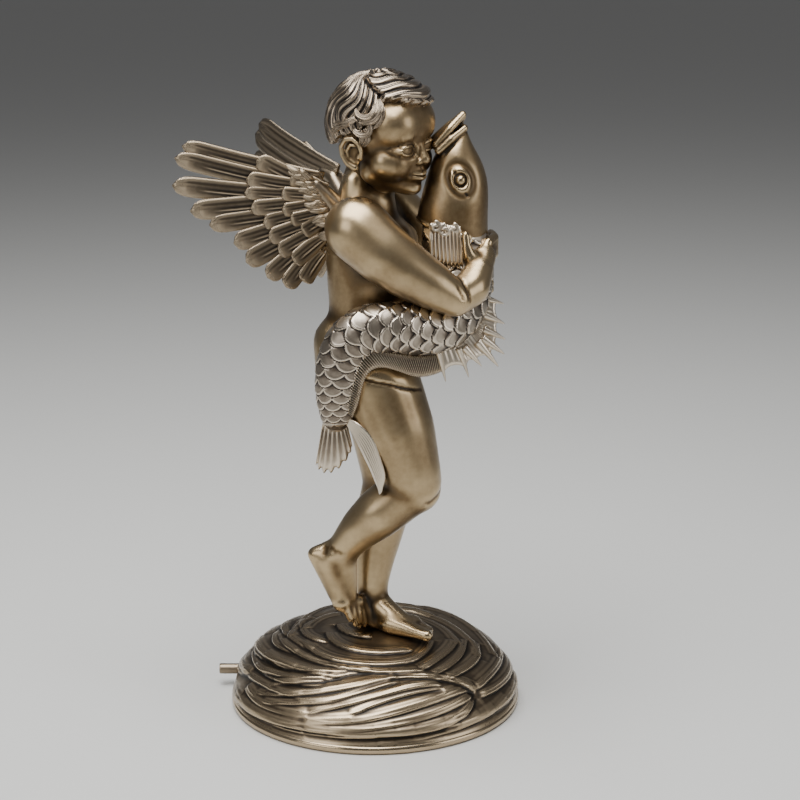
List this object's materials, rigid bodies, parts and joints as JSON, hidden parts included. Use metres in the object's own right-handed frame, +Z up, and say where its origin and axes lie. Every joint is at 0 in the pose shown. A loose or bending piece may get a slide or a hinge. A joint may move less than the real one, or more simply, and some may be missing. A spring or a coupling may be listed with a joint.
{
  "type": "cherub fountain",
  "caption": "Cast bronze garden fountain of a winged child hugging a large fish, whose open mouth is the spout, on a round mound of swirling water with a supply pipe.",
  "frame": {"origin": "middle of the mound's flat underside, where it stands on the ground or a plinth", "axes": "+Z up; the child looks towards +X and a little towards -Y, and the wings reach back towards -X; the picture is taken along +Y"},
  "size_m": [0.4648, 0.4075, 0.8892],
  "materials": {
    "cherub_and_fish": "cast bronze, brown patina with rubbed highlights",
    "wave_mound": "cast bronze, darker brown patina",
    "water_pipe": "plain pipe, dulled"
  },
  "bodies": {
    "root": {"cherub_and_fish": "cherub_and_fish", "wave_mound": "wave_mound", "water_pipe": "water_pipe"}
  },
  "joints": []
}
